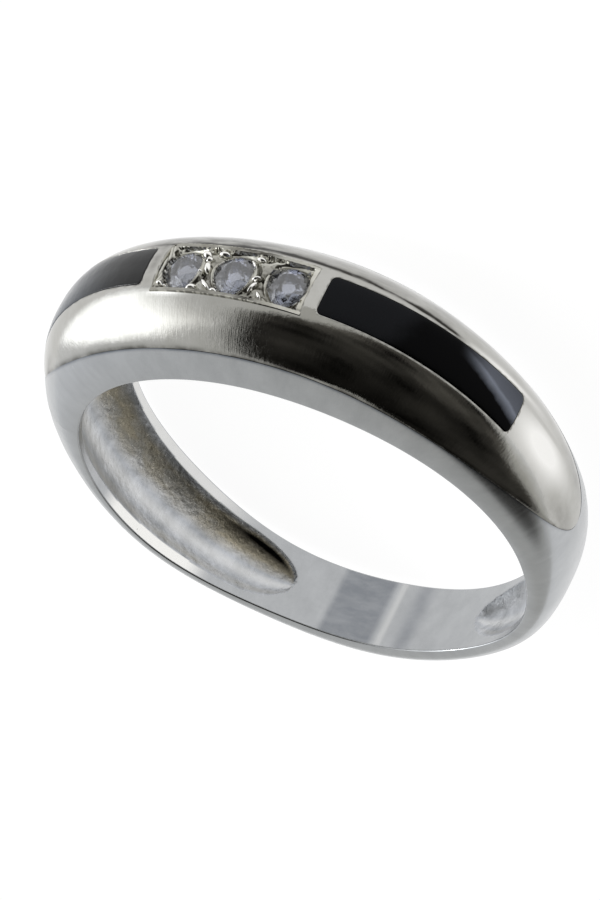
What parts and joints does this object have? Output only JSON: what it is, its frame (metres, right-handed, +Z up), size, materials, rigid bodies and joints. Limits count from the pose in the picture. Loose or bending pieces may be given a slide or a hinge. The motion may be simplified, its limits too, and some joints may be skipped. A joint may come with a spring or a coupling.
{
  "type": "onyx ring",
  "caption": "Tapered silver finger ring with a domed head, hollow inside, holding small clear round stones in a sunk channel between curved black onyx inlays.",
  "frame": {"origin": "on the surface that the ring lies on, under the middle of its box", "axes": "+Z up from that surface, within 5 degrees of the bore's axis; -Y towards the head with the stones; +Y towards the back of the shank; +X towards the left inlay as the head is seen with its stones up"},
  "size_m": [0.02, 0.0207, 0.0058],
  "materials": {
    "silver": "polished silver, lightly scratched, rough cast inside the hollow",
    "onyx": "polished black onyx, flush with the metal",
    "clear_stone": "faceted and polished clear stone"
  },
  "bodies": {
    "root": {"band": "silver", "onyx_left": "onyx", "onyx_right": "onyx", "stone_left": "clear_stone", "stone_middle": "clear_stone", "stone_right": "clear_stone"}
  },
  "joints": []
}
